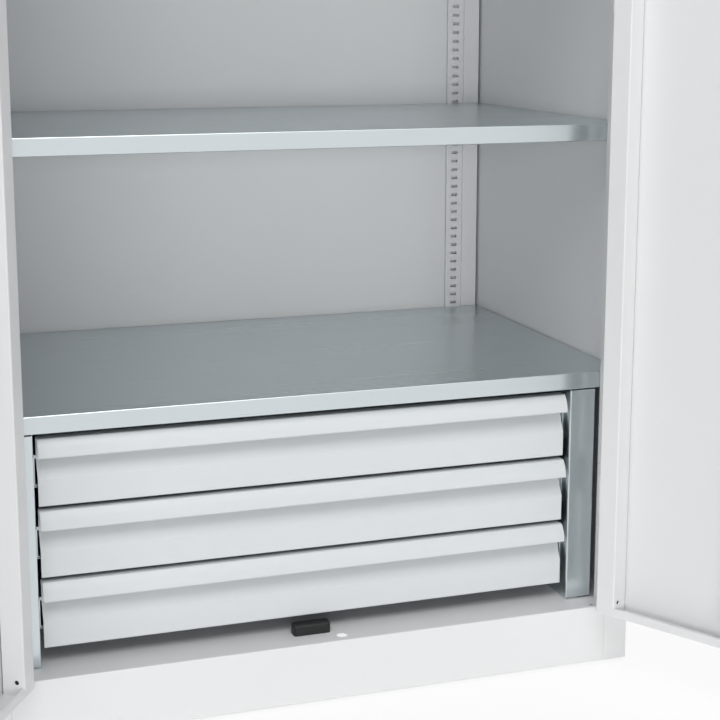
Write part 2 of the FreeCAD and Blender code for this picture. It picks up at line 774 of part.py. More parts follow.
# Doors: each a folded pan with a closed stile on the hinge side and a lip all round
def door_skin(has_lock):
    body = new_body("door")
    moves = [("-u", "door_lip"), ("-v", "door_thick"), ("+u", f"{DOOR_EDGE} - {DOOR_FREE}"),
             ("+v", "door_thick"),
             ("-u", "stile_wide"), ("-v", "door_thick - 2 * steel - fit")]
    start = (f"{DOOR_FREE} + door_lip", DOOR_BACK)
    folded(body, "plan", DOOR_LOW, f"{DOOR_HIGH} - {DOOR_LOW}", start, moves)
    between = f"{DOOR_EDGE} - {DOOR_FREE} - 2 * steel + 2 * fit"
    for low in (DOOR_LOW, f"{DOOR_HIGH} - steel"):
        pad(body, "side", f"{DOOR_FREE} + steel - fit", between,
            rectangle(f"{FRONT} + steel / 2", low, "door_thick - steel", "steel"))
    for end, up in ((DOOR_LOW, 1), (DOOR_HIGH, -1)):
        rim = f"{end} + {up} * door_end_lip"
        pad(body, "side", f"{DOOR_FREE} + door_lip", f"{DOOR_EDGE} - {DOOR_FREE} - stile_wide - door_lip", [
            (DOOR_BACK, end, None), (DOOR_BACK, f"{rim} - {up} * {CORNER}", None),
            (f"{DOOR_BACK} - {FACET} * {CORNER}", f"{rim} - {up} * {FACET} * {CORNER}", None),
            (f"{DOOR_BACK} - {CORNER}", rim, None), (f"{DOOR_BACK} - door_end_hem", rim, None),
            (f"{DOOR_BACK} - door_end_hem", f"{rim} - {up} * steel", None),
            (f"{DOOR_BACK} - steel", f"{rim} - {up} * steel", None), (f"{DOOR_BACK} - steel", end, None),
        ])
    hole(body, "side", f"{DOOR_EDGE} - stile_wide - steel", "3 * steel", f"{FRONT} + stile_hole_setback",
         f"{DOOR_LOW} + stile_hole_rise", "stile_hole_radius")
    if has_lock:
        for end in (DOOR_LOW, DOOR_HIGH):
            hole(body, "plan", f"{end} - 2 * steel", "4 * steel", "rod_offset", ROD_Y, "rod_hole_radius")
        hole(body, "face", f"{FRONT} - steel", "3 * steel", "rod_offset", "lock_level", "rod_hole_radius")
        hole(body, "face", f"{FRONT} - steel", "3 * steel", "rod_offset", "lock_level + key_rise",
             "key_radius + fit")
    return swing(body)


keep(door_skin(True), "door_skin_right")
keep(mirrored(door_skin(False)), "door_skin_left")

stiffener = new_body("stiffener")
rib = "stiffener_deep - steel"
moves = [("-u", "stiffener_foot"), ("+v", rib), ("-u", "stiffener_wide - 2 * stiffener_foot"), ("-v", rib),
         ("-u", "stiffener_foot")]
start = (f"({DOOR_EDGE} + {DOOR_FREE}) / 2 + stiffener_wide / 2", f"{SKIN_IN} + steel")
folded(stiffener, "plan", f"{DOOR_LOW} + stiffener_end_gap",
       f"{DOOR_HIGH} - {DOOR_LOW} - 2 * stiffener_end_gap", start, moves)
keep(swing(stiffener), "door_stiffener_right")
keep(mirrored(stiffener), "door_stiffener_left")

# Strike strip: on the left door's free edge, drawn here as its mirror image
strike = new_body("strike")
foot = "(strike_wide - strike_overlap)"
pad(strike, "plan", f"{DOOR_LOW} + strike_end_gap", f"{DOOR_HIGH} - {DOOR_LOW} - 2 * strike_end_gap", [
    (foot, DOOR_BACK, None), (foot, f"{DOOR_BACK} + steel", None),
    (f"{DOOR_FREE} + 2 * steel", f"{DOOR_BACK} + steel", None),
    (f"{DOOR_FREE} + steel", f"{DOOR_BACK} + steel + strike_step", None),
    ("-strike_overlap", f"{DOOR_BACK} + steel + strike_step", None),
    ("-strike_overlap", f"{DOOR_BACK} + strike_step", None),
    (f"{DOOR_FREE} + steel / 2", f"{DOOR_BACK} + strike_step", None),
    (f"{DOOR_FREE} + 3 * steel / 2", DOOR_BACK, None),
])
swing(strike)
keep(mirrored(strike), "strike_strip")


# Hinges: three to each door, with slim knuckles that stand in front of the post
def hinge(number):
    """The fixed leaf, the door's leaf and the pin of one hinge of the right door."""
    step = f"({DOOR_HIGH} - {DOOR_LOW} - 2 * hinge_end_gap - hinge_tall) / 2"
    low = f"({DOOR_LOW} + hinge_end_gap + {number} * {step})"
    third = "hinge_tall / 3"
    bore = "pin_radius + pin_clearance"
    through = cylinder(PIVOT_X, PIVOT_Y, f"{low} - fit", bore, "hinge_tall + 2 * fit")
    leaf_x = f"({POST_IN} - leaf_steel)"
    pieces = [block(leaf_x, f"{FRONT} + steel", low, "leaf_steel", "leaf_deep", "hinge_tall")]
    for end in (low, f"{low} + 2 * {third} + knuckle_gap"):
        high = f"{third} - knuckle_gap"
        pieces.append(block(leaf_x, PIVOT_Y, end, "leaf_steel", "pivot_proud + 2 * steel", high))
        pieces.append(cylinder(PIVOT_X, PIVOT_Y, end, "knuckle_radius", high))
    fixed = cut(fused(*pieces), through)
    middle = f"{low} + {third}"
    wrap_y = f"{PIVOT_Y} - knuckle_radius"
    moving = cut(fused(
        block(DOOR_EDGE, f"{FRONT} + steel", low, "leaf_steel", "leaf_deep", "hinge_tall"),
        block(DOOR_EDGE, wrap_y, middle, "leaf_steel", "knuckle_radius + pivot_proud + 2 * steel", third),
        block(DOOR_EDGE, wrap_y, middle, f"{PIVOT_X} - {DOOR_EDGE}", "leaf_steel", third),
        cylinder(PIVOT_X, PIVOT_Y, middle, "knuckle_radius", third),
    ), through)
    pin = cylinder(PIVOT_X, PIVOT_Y, f"{low} - fit", "pin_radius", "hinge_tall + 2 * fit")
    return fixed, swing(moving), pin


fixed_leaves, door_leaves, pins = zip(*[hinge(number) for number in range(3)])
for label, pieces in (("hinge_frame_leaves", fixed_leaves), ("hinge_door_leaves", door_leaves),
                      ("hinge_pins", pins)):
    right = keep(group(*pieces), f"{label}_right")
    keep(mirrored(right), f"{label}_left")


# Lock: a swivel lever turns a pinion in a case, which drives a rod up and a rod down
case_x = "(rod_offset - lock_case_wide / 2)"
case_z = "(lock_level - lock_case_tall / 2)"
shell = block(case_x, SKIN_IN, case_z, "lock_case_wide", "lock_case_deep", "lock_case_tall")
room = block(f"{case_x} + lock_case_wall", f"{SKIN_IN} - fit", f"{case_z} + lock_case_wall",
             "lock_case_wide - 2 * lock_case_wall", "lock_case_deep - lock_case_wall + fit",
             "lock_case_tall - 2 * lock_case_wall")
rod_way = cylinder("rod_offset", ROD_Y, f"{case_z} - fit", "rod_radius + rod_guide_gap",
                   "lock_case_tall + 2 * fit")
keep(swing(cut(shell, room, rod_way)), "lock_case")

rack_y = f"{ROD_Y} - rack_thick / 2"
reach = "(pinion_radius + mesh_gap)"
upper_rack = f"(rod_offset - {reach} - rack_wide)"
upper_rod = fused(
    block(upper_rack, rack_y, "lock_level - rack_tail", "rack_wide", "rack_thick", "rack_tail + rack_head"),
    block(upper_rack, rack_y, "lock_level + rack_head - rack_bridge",
          f"rod_offset - {upper_rack} + rod_radius", "rack_thick", "rack_bridge"),
    cylinder("rod_offset", ROD_Y, "lock_level + rack_head - rack_bridge", "rod_radius",
             f"{DOOR_HIGH} - steel - lock_level - rack_head + rack_bridge"),
)
keep(swing(upper_rod), "upper_rod")
lower_rack = f"(rod_offset + {reach})"
lower_rod = fused(
    block(lower_rack, rack_y, "lock_level - rack_head", "rack_wide", "rack_thick", "rack_tail + rack_head"),
    block("rod_offset - rod_radius", rack_y, "lock_level - rack_head",
          f"{lower_rack} + rack_wide - rod_offset + rod_radius", "rack_thick", "rack_bridge"),
    cylinder("rod_offset", ROD_Y, f"{DOOR_LOW} + steel", "rod_radius",
             f"lock_level - rack_head + rack_bridge - {DOOR_LOW} - steel"),
)
keep(swing(lower_rod), "lower_rod")

spindle = fused(
    block("rod_offset - spindle_side / 2", f"{FRONT} - 2 * steel", "lock_level - spindle_side / 2",
          "spindle_side", "rod_setback + rack_thick / 2 + 2 * steel", "spindle_side"),
    cylinder("rod_offset", rack_y, "lock_level", "pinion_radius - mesh_gap", "rack_thick", "Y"),
)
keep(swing(spindle), "lock_spindle")

guides = []
for level in GUIDE_LEVELS:
    guide = block("rod_offset - guide_side / 2", SKIN_IN, level, "guide_side", "guide_deep", "guide_tall")
    way = cylinder("rod_offset", ROD_Y, f"{level} - fit", "rod_radius + rod_guide_gap",
                   "guide_tall + 2 * fit")
    guides.append(cut(guide, way))
keep(swing(group(*guides)), "rod_guides")

plate = new_body("handle_plate")
pad(plate, "face", f"{FRONT} - plate_thick", "plate_thick",
    rectangle("rod_offset - plate_wide / 2", "lock_level - plate_below", "plate_wide",
              "plate_below + plate_above", "plate_corner"))
soften(plate, "plate_edge", lambda edge: edge.BoundBox.YMax < value(f"{FRONT} - plate_thick") + 0.001)
hole(plate, "face", f"{FRONT} - plate_thick - fit", "plate_thick + 2 * fit", "rod_offset", "lock_level",
     "hub_radius + pin_clearance")
hole(plate, "face", f"{FRONT} - plate_thick - fit", "plate_thick + 2 * fit", "rod_offset",
     "lock_level + key_rise", "key_radius + pin_clearance")
keep(swing(plate), "handle_plate")

lever = new_body("lever")
lever_face = f"{FRONT} - lever_out - lever_thick"
pad(lever, "face", lever_face, "lever_thick",
    rectangle("rod_offset - hub_radius", "lock_level - lever_wide / 2", "lever_long + hub_radius",
              "lever_wide", "lever_corner"))
soften(lever, "lever_edge", lambda edge: edge.BoundBox.YMax < value(lever_face) + 0.001)
hub = cylinder("rod_offset", f"{FRONT} - hub_out", "lock_level", "hub_radius", "hub_out - 2 * steel", "Y")
keep(swing(fused(lever, hub)), "lock_handle")

plug = cylinder("rod_offset", f"{FRONT} - plate_thick - fit", "lock_level + key_rise", "key_radius",
                "plate_thick + key_deep", "Y")
key_way = block("rod_offset - key_slot_wide / 2", f"{FRONT} - plate_thick - 2 * fit",
                "lock_level + key_rise - key_slot_long / 2", "key_slot_wide", "key_slot_deep",
                "key_slot_long")
keep(swing(cut(plug, key_way)), "key_cylinder")


# Check every object, then write each sub-part
doc.recompute()
for thing in doc.Objects:
    if "Invalid" in thing.State or "Error" in thing.State:
        raise RuntimeError(f"{thing.Label} failed: {thing.State}")
for label, thing in finished.items():
    shape = thing.Shape
    if shape.isNull() or not shape.isValid() or not shape.Solids:
        raise RuntimeError(f"{label} has no valid solid")
    shape.exportStep(os.path.join("parts", f"{label}.step"))
    print(label, len(shape.Solids), "solids", round(shape.Volume), "mm3")
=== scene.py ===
import json
import math

import bmesh
import bpy
from mathutils import Matrix, Vector


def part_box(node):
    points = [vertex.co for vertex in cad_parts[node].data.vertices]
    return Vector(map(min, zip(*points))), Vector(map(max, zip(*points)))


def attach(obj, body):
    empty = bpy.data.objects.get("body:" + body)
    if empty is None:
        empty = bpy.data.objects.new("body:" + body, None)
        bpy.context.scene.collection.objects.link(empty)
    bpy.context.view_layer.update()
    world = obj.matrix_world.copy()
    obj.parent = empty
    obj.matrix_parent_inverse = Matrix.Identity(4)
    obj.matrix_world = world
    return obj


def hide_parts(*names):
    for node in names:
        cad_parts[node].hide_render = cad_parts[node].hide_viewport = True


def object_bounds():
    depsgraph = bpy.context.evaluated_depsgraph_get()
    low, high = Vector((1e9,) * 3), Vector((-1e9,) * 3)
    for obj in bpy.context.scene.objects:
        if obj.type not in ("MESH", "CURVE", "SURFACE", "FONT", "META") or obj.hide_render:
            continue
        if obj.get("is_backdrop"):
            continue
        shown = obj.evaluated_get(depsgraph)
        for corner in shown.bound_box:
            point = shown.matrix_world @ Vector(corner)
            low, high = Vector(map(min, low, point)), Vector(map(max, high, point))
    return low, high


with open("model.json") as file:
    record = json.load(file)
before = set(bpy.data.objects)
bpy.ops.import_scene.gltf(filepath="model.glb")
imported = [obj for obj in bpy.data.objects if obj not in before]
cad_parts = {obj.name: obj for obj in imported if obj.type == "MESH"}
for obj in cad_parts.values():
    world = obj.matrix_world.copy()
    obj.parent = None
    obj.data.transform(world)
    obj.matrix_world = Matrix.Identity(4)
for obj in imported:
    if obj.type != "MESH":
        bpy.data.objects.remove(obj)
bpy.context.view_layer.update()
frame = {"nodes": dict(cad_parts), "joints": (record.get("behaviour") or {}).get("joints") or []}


# Painted sheet: the shell, the deck, the rails and the foot brackets are folded from 1 mm
# steel, spot welded, then powder coated light grey. The baked coat is satin, with a slow
# mottle and a fine orange peel.
def finish_named(name):
    """An empty finish with its own Principled shader."""
    material = bpy.data.materials.new(name)
    material.use_nodes = True
    return material


def shader_of(material):
    """The Principled shader of a finish."""
    return material.node_tree.nodes["Principled BSDF"]


def placed(material, texture, **levels):
    """A texture group set into a finish, with its own values."""
    node = material.node_tree.nodes.new("ShaderNodeGroup")
    node.node_tree = texture
    for name, level in levels.items():
        node.inputs[name].default_value = level
    return node


def ranged(material, mask, low, high, target):
    """Spread a noise mask, which stays near its middle, between two levels of a socket."""
    usual_low, usual_high = 0.3, 0.7
    spread = material.node_tree.nodes.new("ShaderNodeMapRange")
    spread.inputs["From Min"].default_value = usual_low
    spread.inputs["From Max"].default_value = usual_high
    spread.inputs["To Min"].default_value = low
    spread.inputs["To Max"].default_value = high
    material.node_tree.links.new(mask, spread.inputs["Value"])
    material.node_tree.links.new(spread.outputs["Result"], target)


def blended(material, mask, dark, light, target):
    """Feed a mask to a colour socket as a colour between two others."""
    mix = material.node_tree.nodes.new("ShaderNodeMix")
    mix.data_type = "RGBA"
    first, second = [socket for socket in mix.inputs if socket.type == "RGBA"]
    first.default_value = (*dark, 1)
    second.default_value = (*light, 1)
    material.node_tree.links.new(mask, mix.inputs["Factor"])
    material.node_tree.links.new([out for out in mix.outputs if out.type == "RGBA"][0], target)


def bumped(material, height, depth, strength):
    """Relief of a real depth, in metres, over a finish."""
    bump = material.node_tree.nodes.new("ShaderNodeBump")
    bump.inputs["Strength"].default_value = strength
    bump.inputs["Distance"].default_value = depth
    material.node_tree.links.new(height, bump.inputs["Height"])
    material.node_tree.links.new(bump.outputs["Normal"], shader_of(material).inputs["Normal"])


def coat_texture():
    """Shader group: the slow mottle and the fine peel of a baked coat, in cells per metre."""
    mottle_scale, paint_peel_scale = 3.5, 900
    texture = bpy.data.node_groups.new("coat_texture", "ShaderNodeTree")
    peel_scale = texture.interface.new_socket("peel_scale", in_out="INPUT",
                                              socket_type="NodeSocketFloat")
    peel_scale.default_value = paint_peel_scale
    texture.interface.new_socket("mottle", in_out="OUTPUT", socket_type="NodeSocketFloat")
    texture.interface.new_socket("peel", in_out="OUTPUT", socket_type="NodeSocketFloat")
    nodes, links = texture.nodes, texture.links
    entry, leave = nodes.new("NodeGroupInput"), nodes.new("NodeGroupOutput")
    spot = nodes.new("ShaderNodeTexCoord")
    slow = nodes.new("ShaderNodeTexNoise")
    slow.inputs["Scale"].default_value = mottle_scale
    slow.inputs["Detail"].default_value = 3
    fine = nodes.new("ShaderNodeTexNoise")
    fine.inputs["Detail"].default_value = 1.5
    links.new(spot.outputs["Object"], slow.inputs["Vector"])
    links.new(spot.outputs["Object"], fine.inputs["Vector"])
    links.new(entry.outputs["peel_scale"], fine.inputs["Scale"])
    links.new(slow.outputs["Fac"], leave.inputs["mottle"])
    links.new(fine.outputs["Fac"], leave.inputs["peel"])
    return texture


baked_coat = coat_texture()


def powder_coat(name, dark, light):
    """Satin powder coat between two close greys."""
    smoothest, roughest = 0.36, 0.44
    peel_deep, peel_shows = 0.00003, 0.25
    material = finish_named(name)
    coat = placed(material, baked_coat)
    shader = shader_of(material)
    blended(material, coat.outputs["mottle"], dark, light, shader.inputs["Base Color"])
    ranged(material, coat.outputs["mottle"], smoothest, roughest, shader.inputs["Roughness"])
    bumped(material, coat.outputs["peel"], peel_deep, peel_shows)
    return material


def dress(material, slot, *names):
    """Give CAD pieces a finish, shaded smooth over their bends and sharp at their cut edges."""
    weld_gap, widest_bend_step = 0.00001, math.radians(22)
    for name in names:
        piece = frame["nodes"][name]
        piece.data.materials.clear()
        piece.data.materials.append(material)
        piece.data.shade_smooth()
        weld = piece.modifiers.new("weld", "WELD")
        weld.merge_threshold = weld_gap
        split = piece.modifiers.new("cut_edges", "EDGE_SPLIT")
        split.split_angle = widest_bend_step
        piece.modifiers.new("flat_faces", "WEIGHTED_NORMAL")


body_paint = powder_coat("body_paint", dark=(0.738, 0.742, 0.745), light=(0.760, 0.764, 0.767))
dress(body_paint, "body_paint", "side_panel_right", "side_panel_left", "back_panel", "top_panel",
      "base_deck", "rear_rail_right", "rear_rail_left", "front_rail_right", "front_rail_left",
      "foot_brackets", "hinge_frame_leaves_right", "hinge_frame_leaves_left")


# Shelves: galvanised trays turned over, of bare sheet, that lie on hooked clips. The zinc is
# slightly blue, and rolling the sheet has left long faint streaks across the cabinet.
def rolled_zinc():
    """Shader group: rolling streaks drawn out along X, and the soft patches of a zinc bath."""
    streaks_along, streaks_across, patch_scale = 1.2, 110, 9
    texture = bpy.data.node_groups.new("rolled_zinc", "ShaderNodeTree")
    turn = texture.interface.new_socket("turn", in_out="INPUT", socket_type="NodeSocketVector")
    turn.default_value = (0, 0, 0)
    texture.interface.new_socket("streak", in_out="OUTPUT", socket_type="NodeSocketFloat")
    texture.interface.new_socket("patch", in_out="OUTPUT", socket_type="NodeSocketFloat")
    nodes, links = texture.nodes, texture.links
    entry, leave = nodes.new("NodeGroupInput"), nodes.new("NodeGroupOutput")
    spot = nodes.new("ShaderNodeTexCoord")
    lay = nodes.new("ShaderNodeMapping")
    stretch = nodes.new("ShaderNodeMapping")
    stretch.inputs["Scale"].default_value = (streaks_along, streaks_across, streaks_across)
    streaks = nodes.new("ShaderNodeTexNoise")
    streaks.inputs["Scale"].default_value = 1
    streaks.inputs["Detail"].default_value = 3
    patches = nodes.new("ShaderNodeTexNoise")
    patches.inputs["Scale"].default_value = patch_scale
    patches.inputs["Detail"].default_value = 2
    links.new(spot.outputs["Object"], lay.inputs["Vector"])
    links.new(entry.outputs["turn"], lay.inputs["Rotation"])
    links.new(lay.outputs["Vector"], stretch.inputs["Vector"])
    links.new(stretch.outputs["Vector"], streaks.inputs["Vector"])
    links.new(spot.outputs["Object"], patches.inputs["Vector"])
    links.new(streaks.outputs["Fac"], leave.inputs["streak"])
    links.new(patches.outputs["Fac"], leave.inputs["patch"])
    return texture


zinc_texture = rolled_zinc()


def galvanised_sheet(name, turn):
    """Bare galvanised sheet whose rolling streaks run along X before the turn."""
    dark_zinc, light_zinc = (0.628, 0.684, 0.708), (0.652, 0.708, 0.732)
    smoothest, roughest = 0.27, 0.32
    streak_deep, streak_shows = 0.00002, 0.06
    material = finish_named(name)
    zinc = placed(material, zinc_texture, turn=turn)
    shader = shader_of(material)
    shader.inputs["Metallic"].default_value = 1
    blended(material, zinc.outputs["patch"], dark_zinc, light_zinc, shader.inputs["Base Color"])
    ranged(material, zinc.outputs["streak"], smoothest, roughest, shader.inputs["Roughness"])
    bumped(material, zinc.outputs["streak"], streak_deep, streak_shows)
    return material


along_x, upright, along_y = (0, 0, 0), (0, math.pi / 2, 0), (0, 0, math.pi / 2)
shelf_zinc = galvanised_sheet("shelf_zinc", along_x)
dress(shelf_zinc, "galvanised", "drawer_cover_shelf", "shelf_1", "shelf_2", "shelf_3",
      "shelf_clips")


# Drawer block: two galvanised cheeks folded from sheet and screwed to the deck, with the
# rolling streaks upright. Each carries three slides of nested channels, drawn along the depth.
cheek_zinc = galvanised_sheet("cheek_zinc", upright)
dress(cheek_zinc, "galvanised", "drawer_cheek_right", "drawer_cheek_left")

drawn_zinc = galvanised_sheet("drawn_zinc", along_y)
for number in (1, 2, 3):
    dress(drawn_zinc, "galvanised", f"slide_cabinet_{number}", f"slide_middle_{number}",
          f"slide_drawer_{number}", f"drawer_tray_{number}")


# Drawer fronts: one folded sheet each, with the rolled grip over the finger recess. They are
# powder coated like the shell, in a grey that is darker and slightly bluer.
front_paint = powder_coat("front_paint", dark=(0.630, 0.656, 0.667), light=(0.652, 0.678, 0.689))
for number in (1, 2, 3):
    dress(front_paint, "body_paint", f"drawer_front_{number}")


# Doors: folded pans with a closed stile, a spot-welded stiffener and, on the left door, the
# strike strip. All are painted before the hinge pins, of plain zinc-plated wire, go in.
def plated(name, dark, light, smoothest, roughest):
    """A plated metal between two colours and two roughnesses."""
    cloud_scale = 140
    material = finish_named(name)
    coat = placed(material, baked_coat, peel_scale=cloud_scale)
    shader = shader_of(material)
    shader.inputs["Metallic"].default_value = 1
    blended(material, coat.outputs["mottle"], dark, light, shader.inputs["Base Color"])
    ranged(material, coat.outputs["peel"], smoothest, roughest, shader.inputs["Roughness"])
    return material


for side in ("right", "left"):
    dress(body_paint, "body_paint", f"door_skin_{side}", f"door_stiffener_{side}",
          f"hinge_door_leaves_{side}")
dress(body_paint, "body_paint", "strike_strip")

zinc_steel = plated("zinc_steel", dark=(0.60, 0.61, 0.62), light=(0.66, 0.67, 0.68),
                    smoothest=0.26, roughest=0.36)
dress(zinc_steel, "zinc_steel", "hinge_pins_right", "hinge_pins_left")


# Lock: a pressed case on the right door's skin, the spindle with its pinion, and two round
# rods with flat racks, all zinc plated. Moulded guides keep the rods in line.
def moulded(name, grey, smoothest, roughest, grain_deep):
    """Black moulded plastic or rubber with a fine grain."""
    grain_scale, grain_shows, blue_share = 1600, 0.4, 1.05
    material = finish_named(name)
    skin = placed(material, baked_coat, peel_scale=grain_scale)
    shader = shader_of(material)
    shader.inputs["Base Color"].default_value = (grey, grey, grey * blue_share, 1)
    ranged(material, skin.outputs["mottle"], smoothest, roughest, shader.inputs["Roughness"])
    bumped(material, skin.outputs["peel"], grain_deep, grain_shows)
    return material


dress(zinc_steel, "zinc_steel", "lock_case", "lock_spindle", "upper_rod", "lower_rod")
black_plastic = moulded("black_plastic", grey=0.013, smoothest=0.42, roughest=0.52,
                        grain_deep=0.00004)
dress(black_plastic, "black_plastic", "rod_guides", "handle_plate")
nickel = plated("nickel", dark=(0.73, 0.72, 0.69), light=(0.77, 0.76, 0.73),
                smoothest=0.16, roughest=0.24)
dress(nickel, "nickel", "key_cylinder")


# Lever: moulded in black plastic over the spindle's end. The grip narrows and thins towards
# its tip, and every edge is rounded for the hand.
def new_piece(mesh, name, material, body):
    """Make a finished mesh a piece of the object that rides on a body."""
    data = bpy.data.meshes.new(name)
    mesh.to_mesh(data)
    mesh.free()
    data.materials.append(material)
    data.shade_smooth()
    piece = bpy.data.objects.new(name, data)
    bpy.context.scene.collection.objects.link(piece)
    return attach(piece, body)


def sharp_edges(piece, from_degrees):
    """Keep a new piece's sharper edges crisp and its flat faces flat."""
    split = piece.modifiers.new("crisp_edges", "EDGE_SPLIT")
    split.split_angle = math.radians(from_degrees)
    piece.modifiers.new("flat_faces", "WEIGHTED_NORMAL")


hinge = [joint for joint in frame["joints"] if joint["name"] == "door_right_hinge"][0]
pivot = Vector(hinge["pos_m"])
shut_angle, rest_angle = hinge["range_deg"]
opened = Matrix.Rotation(math.radians(rest_angle - shut_angle), 4, "Z")
door_swing = Matrix.Translation(pivot) @ opened @ Matrix.Translation(-pivot)

spindle_x, spindle_z = 0.0292, 1.090
hub_radius, hub_end, hub_start = 0.012, -0.328, -0.302
hub_end_share, hub_sides = 0.97, 48
lever_long, lever_wide, lever_thick, lever_face = 0.124, 0.018, 0.012, -0.338
tip_narrower, tip_thinner = 0.22, 0.30
lever_steps, edge_round, edge_steps, sharp_fold = 7, 0.0032, 4, 0.8

lever = bmesh.new()
bar = bmesh.ops.create_cube(lever, size=1)["verts"]
bmesh.ops.scale(lever, vec=(lever_long, lever_thick, lever_wide), verts=bar)
long_edges = [edge for edge in lever.edges
              if abs(edge.verts[0].co.x - edge.verts[1].co.x) > lever_long / 2]
bmesh.ops.subdivide_edges(lever, edges=long_edges, cuts=lever_steps, use_grid_fill=True)
for vertex in lever.verts:
    along = vertex.co.x / lever_long + 0.5
    vertex.co.z *= 1 - tip_narrower * along ** 2
    vertex.co.y *= 1 - tip_thinner * along
folds = [edge for edge in lever.edges if edge.calc_face_angle(0) > sharp_fold]
bmesh.ops.bevel(lever, geom=folds, offset=edge_round, segments=edge_steps, profile=0.5,
                affect="EDGES", material=-1)
lever_middle = (spindle_x - hub_radius + lever_long / 2, lever_face + lever_thick / 2, spindle_z)
bmesh.ops.translate(lever, verts=lever.verts, vec=lever_middle)
hub = bmesh.ops.create_cone(lever, cap_ends=True, segments=hub_sides, radius1=hub_radius,
                            radius2=hub_radius * hub_end_share, depth=hub_start - hub_end)["verts"]
towards_door = Matrix.Rotation(math.radians(90), 3, "X")
bmesh.ops.rotate(lever, verts=hub, cent=(0, 0, 0), matrix=towards_door)
bmesh.ops.translate(lever, verts=hub, vec=(spindle_x, (hub_start + hub_end) / 2, spindle_z))
bmesh.ops.transform(lever, matrix=door_swing, verts=lever.verts)
lever = new_piece(lever, "lever_grip", black_plastic, "handle")
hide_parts("lock_handle")
sharp_edges(lever, 35)


# Screws: small zinc-plated pan heads with a cross recess. Three hold each drawer's front to
# its tray from inside, and six hold the cheeks to the deck.
def ring(mesh, edges, radius, height):
    """Draw a turned shape's open edge on to a new radius and height, and give its new edge."""
    same = 1e-7
    drawn = bmesh.ops.extrude_edge_only(mesh, edges=edges)["geom"]
    for vertex in [part for part in drawn if isinstance(part, bmesh.types.BMVert)]:
        flat = Vector((vertex.co.x, vertex.co.y, 0)).normalized() * radius
        vertex.co = (flat.x, flat.y, height)
    return [part for part in drawn if isinstance(part, bmesh.types.BMEdge)
            and all(abs(vertex.co.z - height) < same for vertex in part.verts)
            and all(abs(vertex.co.xy.length - radius) < same for vertex in part.verts)]


def pan_head_screw(radius, tall, shank_radius, shank_long):
    """One screw standing on its shank, with the underside of the head at zero height."""
    recess_reach, recess_arm = radius * 0.60, radius * 0.17
    recess_draft, recess_deep = radius * 0.04, tall * 0.55
    off_axis = recess_arm * 1.01
    screw = bmesh.new()
    bmesh.ops.create_grid(screw, x_segments=3, y_segments=3, size=recess_reach)
    for vertex in screw.verts:
        x, y = (math.copysign(recess_arm, c) if abs(c) < recess_reach / 2 else c
                for c in vertex.co.xy)
        on_rim = abs(x) > off_axis or abs(y) > off_axis
        flat = Vector((x, y, 0))
        vertex.co = (flat.normalized() * recess_reach if on_rim else flat) + Vector((0, 0, tall))
    cross = [face for face in screw.faces
             if min(abs(c) for c in face.calc_center_median().xy) < recess_arm / 2]
    bmesh.ops.inset_region(screw, faces=cross, thickness=recess_draft, depth=-recess_deep,
                           use_even_offset=True, use_boundary=True)
    rim = [edge for edge in screw.edges if edge.is_boundary]
    dome = ((0.82, 0.90), (0.97, 0.55), (1.0, 0.12), (1.0, 0.02), (0.97, 0.0))
    for radius_share, height_share in dome:
        rim = ring(screw, rim, radius * radius_share, tall * height_share)
    corner_step, corner_hold = 0.00001, 0.0002
    for height in (-corner_step, -corner_hold, corner_hold - shank_long, -shank_long):
        rim = ring(screw, rim, shank_radius, height)
    bmesh.ops.contextual_create(screw, geom=rim)
    bmesh.ops.recalc_face_normals(screw, faces=screw.faces)
    return screw


def set_out(shape, places):
    """One mesh with the shape at each of its places."""
    pattern = bpy.data.meshes.new("pattern")
    shape.to_mesh(pattern)
    shape.free()
    whole = bmesh.new()
    for place in places:
        copy = pattern.copy()
        copy.transform(place)
        whole.from_mesh(copy)
        bpy.data.meshes.remove(copy)
    bpy.data.meshes.remove(pattern)
    return whole


def rounded(piece, levels):
    """Round a new piece off with a subdivision surface."""
    smooth = piece.modifiers.new("rounding", "SUBSURF")
    smooth.levels = smooth.render_levels = levels


head_radius, head_tall, shank_radius = 0.0045, 0.0025, 0.0025
front_shank, cheek_shank, head_levels = 0.0027, 0.004, 2
facing_back = Matrix.Rotation(math.radians(-90), 4, "X")
for number in (1, 2, 3):
    low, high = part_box(f"front_screws_{number}")
    height, underside = (low.z + high.z) / 2, high.y - head_tall
    across = [low.x + head_radius, (low.x + high.x) / 2, high.x - head_radius]
    places = [Matrix.Translation((x, underside, height)) @ facing_back for x in across]
    screws = set_out(pan_head_screw(head_radius, head_tall, shank_radius, front_shank), places)
    screws = new_piece(screws, f"tray_screws_{number}", zinc_steel,
                       f"drawer_{number}")
    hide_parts(f"front_screws_{number}")
    rounded(screws, head_levels)

low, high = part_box("cheek_screws")
underside = high.z - head_tall
cabinet_middle = 0
rows = [low.y + head_radius, cabinet_middle, high.y - head_radius]
columns = [low.x + head_radius, high.x - head_radius]
places = [Matrix.Translation((x, y, underside)) for x in columns for y in rows]
screws = set_out(pan_head_screw(head_radius, head_tall, shank_radius, cheek_shank), places)
screws = new_piece(screws, "cheek_foot_screws", zinc_steel, "cabinet")
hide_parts("cheek_screws")
rounded(screws, head_levels)


# Levelling feet: a round black moulded pad on a zinc-plated threaded stud, screwed up through
# the bracket inside each corner post.
def turned(profile, steps):
    """A shape turned about an upright axis from its outline of (radius, height) points."""
    seam_gap = 1e-7
    shape = bmesh.new()
    corners = [shape.verts.new((radius, 0, height)) for radius, height in profile]
    edges = [shape.edges.new(pair) for pair in zip(corners, corners[1:])]
    bmesh.ops.spin(shape, geom=corners + edges, cent=(0, 0, 0), axis=(0, 0, 1),
                   dvec=(0, 0, 0), angle=math.tau, steps=steps, use_merge=True)
    bmesh.ops.remove_doubles(shape, verts=shape.verts, dist=seam_gap)
    bmesh.ops.recalc_face_normals(shape, faces=shape.faces)
    return shape


